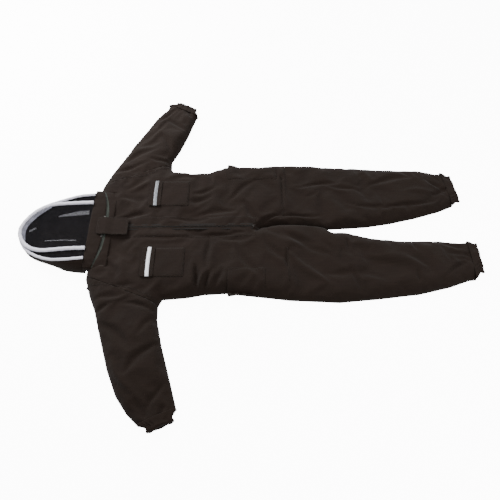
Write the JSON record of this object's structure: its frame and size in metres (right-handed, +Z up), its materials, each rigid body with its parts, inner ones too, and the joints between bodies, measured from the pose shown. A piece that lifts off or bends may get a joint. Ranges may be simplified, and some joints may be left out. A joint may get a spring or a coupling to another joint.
{
  "type": "beekeeping suit",
  "caption": "One-piece beekeeping suit lying flat on its back, with a zip-on fencing-veil hood, a long front zip, patch pockets and elasticated cuffs.",
  "frame": {"origin": "on the floor, under the middle of the lying suit's box", "axes": "+X from the head to the feet, +Z up away from the floor through the suit's front, -Y towards the wearer's right"},
  "size_m": [1.891, 1.5834, 0.0743],
  "materials": {
    "suit_cloth": "matte plain-weave polycotton",
    "black_mesh": "fine open fencing mesh, see-through",
    "white_piping": "satin white binding, slightly gathered",
    "zip_tape": "grey-green woven zip tape",
    "dark_trim": "black woven tape and hook-and-loop pile",
    "zip_chain": "dark moulded zip chain",
    "zip_metal": "dull gunmetal",
    "reflective_tape": "silver retro-reflective tape",
    "elastic": "knitted elastic, off-white",
    "inner_tape": "light-grey cotton seam tape"
  },
  "bodies": {
    "suit": {"front_panel_right": "suit_cloth", "front_panel_left": "suit_cloth", "back_panel_right": "suit_cloth", "back_panel_left": "suit_cloth", "ankle_cuff_right": "suit_cloth", "ankle_cuff_left": "suit_cloth", "ankle_elastic_right": "elastic", "ankle_elastic_left": "elastic", "chest_pocket_right": "suit_cloth", "chest_pocket_left": "suit_cloth", "hip_pocket_right": "suit_cloth", "hip_pocket_left": "suit_cloth", "front_zip_tape_right": "dark_trim", "front_zip_tape_left": "dark_trim", "front_zip_chain_right": "zip_chain", "front_zip_chain_left": "zip_chain", "collar": "suit_cloth", "hood_zip_tape_lower": "zip_tape", "front_zip_stop": "zip_metal", "loop_patch": "dark_trim"},
    "hood": {"hood_neck_band": "suit_cloth", "hood_zip_tape_upper": "zip_tape", "hood_fabric": "suit_cloth", "side_veil_right": "black_mesh", "side_veil_left": "black_mesh", "veil_window": "black_mesh", "front_hoop_piping": "white_piping", "rear_hoop_piping": "white_piping", "hood_inner_tape": "inner_tape"},
    "sleeve_right": {"sleeve_front_right": "suit_cloth", "sleeve_back_right": "suit_cloth", "wrist_cuff_right": "suit_cloth", "wrist_elastic_right": "elastic"},
    "sleeve_left": {"sleeve_front_left": "suit_cloth", "sleeve_back_left": "suit_cloth", "wrist_cuff_left": "suit_cloth", "wrist_elastic_left": "elastic"},
    "front_zip_slider": {"front_zip_slider": "zip_metal", "front_zip_pull": "zip_metal"},
    "hood_zip_slider_right": {"hood_zip_slider_right": "zip_metal", "hood_zip_pull_right": "zip_metal"},
    "hood_zip_slider_left": {"hood_zip_slider_left": "zip_metal", "hood_zip_pull_left": "zip_metal"},
    "chin_tab": {"chin_tab": "suit_cloth", "hook_patch": "dark_trim"},
    "chest_flap_right": {"chest_flap_right": "suit_cloth", "reflective_strip_right": "reflective_tape"},
    "chest_flap_left": {"chest_flap_left": "suit_cloth", "reflective_strip_left": "reflective_tape"}
  },
  "joints": [
    {"name": "hood_pull_off", "type": "slide", "parent": "suit", "child": "hood", "axis": [-1, 0, 0], "range_m": [0, 0.25]},
    {"name": "sleeve_right_fold", "type": "hinge", "parent": "suit", "child": "sleeve_right", "pos_m": [-0.6225, -0.19866, 0.053], "axis": [-0.9244, 0.3815, 0], "range_deg": [0, 180]},
    {"name": "sleeve_left_fold", "type": "hinge", "parent": "suit", "child": "sleeve_left", "pos_m": [-0.6225, 0.24534, 0.053], "axis": [0.9244, 0.3815, 0], "range_deg": [0, 180]},
    {"name": "front_zip_slide", "type": "slide", "parent": "suit", "child": "front_zip_slider", "axis": [1, 0, 0], "range_m": [0, 0.555]},
    {"name": "hood_zip_right_slide", "type": "slide", "parent": "suit", "child": "hood_zip_slider_right", "axis": [0, -1, 0], "range_m": [0, 0.135]},
    {"name": "hood_zip_left_slide", "type": "slide", "parent": "suit", "child": "hood_zip_slider_left", "axis": [0, 1, 0], "range_m": [0, 0.135]},
    {"name": "chin_tab_lift", "type": "hinge", "parent": "suit", "child": "chin_tab", "pos_m": [-0.5375, -0.01866, 0.0582], "axis": [1, 0, 0], "range_deg": [0, 140]},
    {"name": "chest_flap_right_lift", "type": "hinge", "parent": "suit", "child": "chest_flap_right", "pos_m": [-0.4005, -0.14766, 0.0549], "axis": [0, -1, 0], "range_deg": [0, 180]},
    {"name": "chest_flap_left_lift", "type": "hinge", "parent": "suit", "child": "chest_flap_left", "pos_m": [-0.4005, 0.19434, 0.0549], "axis": [0, -1, 0], "range_deg": [0, 180]}
  ]
}
